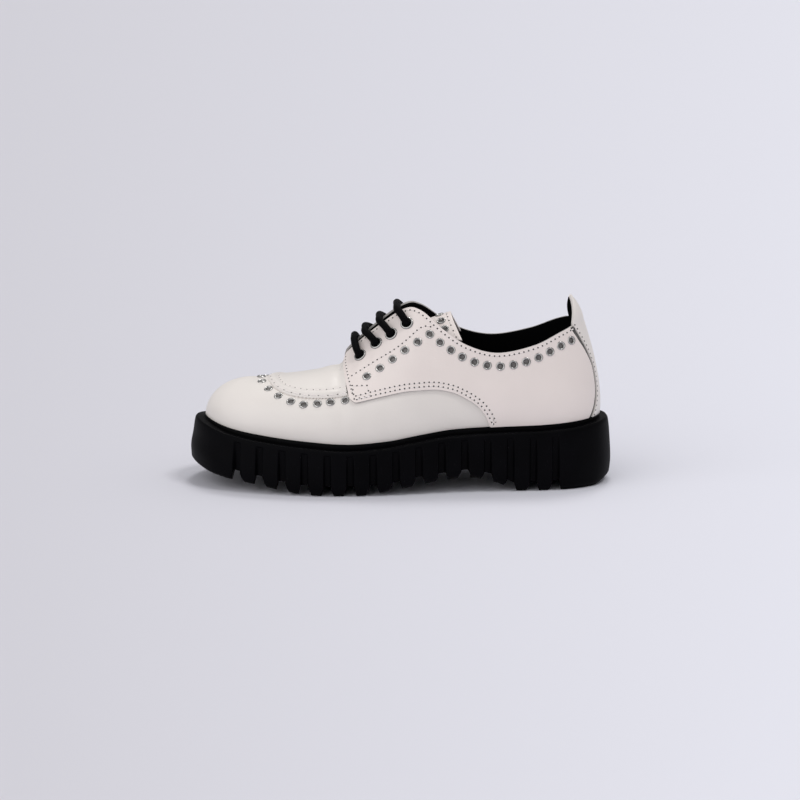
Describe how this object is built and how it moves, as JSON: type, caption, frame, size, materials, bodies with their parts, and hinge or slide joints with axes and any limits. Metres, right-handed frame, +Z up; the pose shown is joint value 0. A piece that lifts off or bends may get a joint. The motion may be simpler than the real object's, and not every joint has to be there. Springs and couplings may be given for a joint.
{
  "type": "derby shoe",
  "caption": "Lace-up derby shoe with open lacing, moccasin apron and a thick lugged platform sole; worn on the left foot for walking.",
  "frame": {"origin": "on the floor, under the middle of the bounding box", "axes": "the toe points to -X and the heel to +X, the lateral side faces -Y and the medial side +Y, and +Z is up"},
  "size_m": [0.286, 0.1104, 0.1263],
  "materials": {
    "leather": "smooth full grain, off-white, low sheen",
    "lining": "matt black",
    "sole_rubber": "satin black moulded rubber",
    "welt_rubber": "matt black",
    "nickel": "polished nickel plate",
    "lace_cord": "round braided cord, matt black"
  },
  "bodies": {
    "root": {"outsole": "sole_rubber", "welt": "welt_rubber", "insole": "lining", "upper": "leather", "apron": "leather", "quarter_lateral": "leather", "quarter_medial": "leather", "backstay": "leather", "tongue": "leather", "eyelet_lateral_1": "nickel", "eyelet_lateral_2": "nickel", "eyelet_lateral_3": "nickel", "eyelet_lateral_4": "nickel", "eyelet_medial_1": "nickel", "eyelet_medial_2": "nickel", "eyelet_medial_3": "nickel", "eyelet_medial_4": "nickel", "lace": "lace_cord"}
  },
  "joints": []
}
